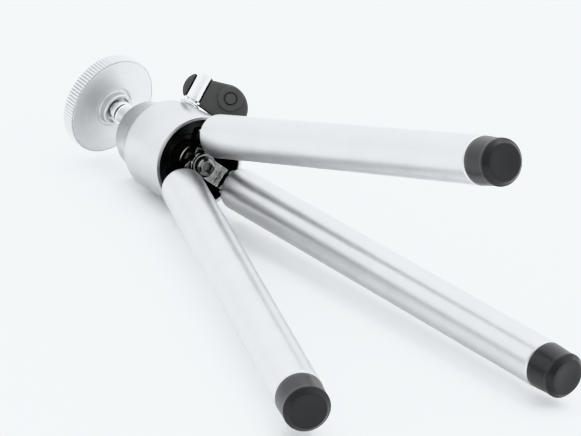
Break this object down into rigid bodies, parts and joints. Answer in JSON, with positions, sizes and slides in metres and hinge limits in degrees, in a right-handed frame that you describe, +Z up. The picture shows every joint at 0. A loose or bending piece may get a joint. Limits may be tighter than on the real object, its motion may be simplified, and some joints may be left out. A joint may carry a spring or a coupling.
{
  "type": "tabletop tripod",
  "caption": "Pocket tabletop tripod with a bell-shaped hub, ball head, knurled camera platform, side lock lever and hinged tube legs with rubber feet, lying on its side.",
  "frame": {"origin": "on the surface it lies on, under the middle of its bounding box", "axes": "+Z up; +X along the hub's axis as seen from above, from the platform wheel to the feet; +Y to the left"},
  "size_m": [0.2016, 0.0796, 0.0685],
  "materials": {
    "satin_aluminium": "satin, fine matt grain",
    "chrome": "polished plating",
    "zinc_steel": "zinc plated, semi-bright",
    "black_plastic": "moulded, low sheen",
    "black_rubber": "smooth moulded, semi-gloss",
    "white_nylon": "natural nylon, matt",
    "black_pad": "matt friction pad"
  },
  "bodies": {
    "hub": {"hub_body": "satin_aluminium", "ball_cup": "white_nylon", "preload_washer": "zinc_steel", "ball_retainer": "zinc_steel", "clamp_shoe": "white_nylon", "lock_washer": "zinc_steel", "mouth_disc": "black_plastic", "spider": "chrome", "spider_screw": "zinc_steel", "spider_washer": "zinc_steel", "pivot_pin_a": "zinc_steel", "pivot_pin_b": "zinc_steel", "pivot_pin_c": "zinc_steel"},
    "leg_a": {"leg_fitting_a": "chrome", "leg_tube_a": "satin_aluminium", "foot_a": "black_rubber"},
    "leg_b": {"leg_fitting_b": "chrome", "leg_tube_b": "satin_aluminium", "foot_b": "black_rubber"},
    "leg_c": {"leg_fitting_c": "chrome", "leg_tube_c": "satin_aluminium", "foot_c": "black_rubber"},
    "ball_swivel": {"ball_liner": "white_nylon"},
    "ball_head": {"ball_stud": "chrome", "retaining_pin": "zinc_steel"},
    "platform": {"platform_wheel": "satin_aluminium", "platform_pad": "black_pad", "camera_screw": "zinc_steel"},
    "lock": {"lock_screw": "chrome", "lock_lever": "black_plastic"}
  },
  "joints": [
    {"name": "leg_a_spread", "type": "hinge", "parent": "hub", "child": "leg_a", "pos_m": [-0.04217, 0.00996, 0.02411], "axis": [-0.0102, -0.9931, 0.1166], "range_deg": [-11.1, 20.9]},
    {"name": "leg_b_spread", "type": "hinge", "parent": "hub", "child": "leg_b", "pos_m": [-0.04093, 0.01605, 0.01001], "axis": [-0.07, 0.5979, 0.7985], "range_deg": [-9.2, 22.8]},
    {"name": "leg_c_spread", "type": "hinge", "parent": "hub", "child": "leg_c", "pos_m": [-0.04109, 0.00074, 0.01181], "axis": [0.0802, 0.3952, -0.9151], "range_deg": [-15.7, 16.3]},
    {"name": "ball_pan", "type": "hinge", "parent": "hub", "child": "ball_swivel", "pos_m": [-0.06561, 0.00892, 0.01319], "axis": [-0.9962, 0, -0.0873], "continuous": true},
    {"name": "ball_tilt", "type": "hinge", "parent": "ball_swivel", "child": "ball_head", "pos_m": [-0.06561, 0.00892, 0.01319], "axis": [-0.0585, 0.7422, 0.6676], "range_deg": [-41.8, 2.2]},
    {"name": "platform_spin", "type": "hinge", "parent": "ball_head", "child": "platform", "pos_m": [-0.08987, 0.00318, 0.01744], "axis": [-0.9592, -0.227, 0.1683], "continuous": true},
    {"name": "lock_lever_turn", "type": "hinge", "parent": "hub", "child": "lock", "pos_m": [-0.06681, 0.01709, 0.02689], "axis": [-0.0751, 0.5109, 0.8564], "range_deg": [0, 150]}
  ]
}
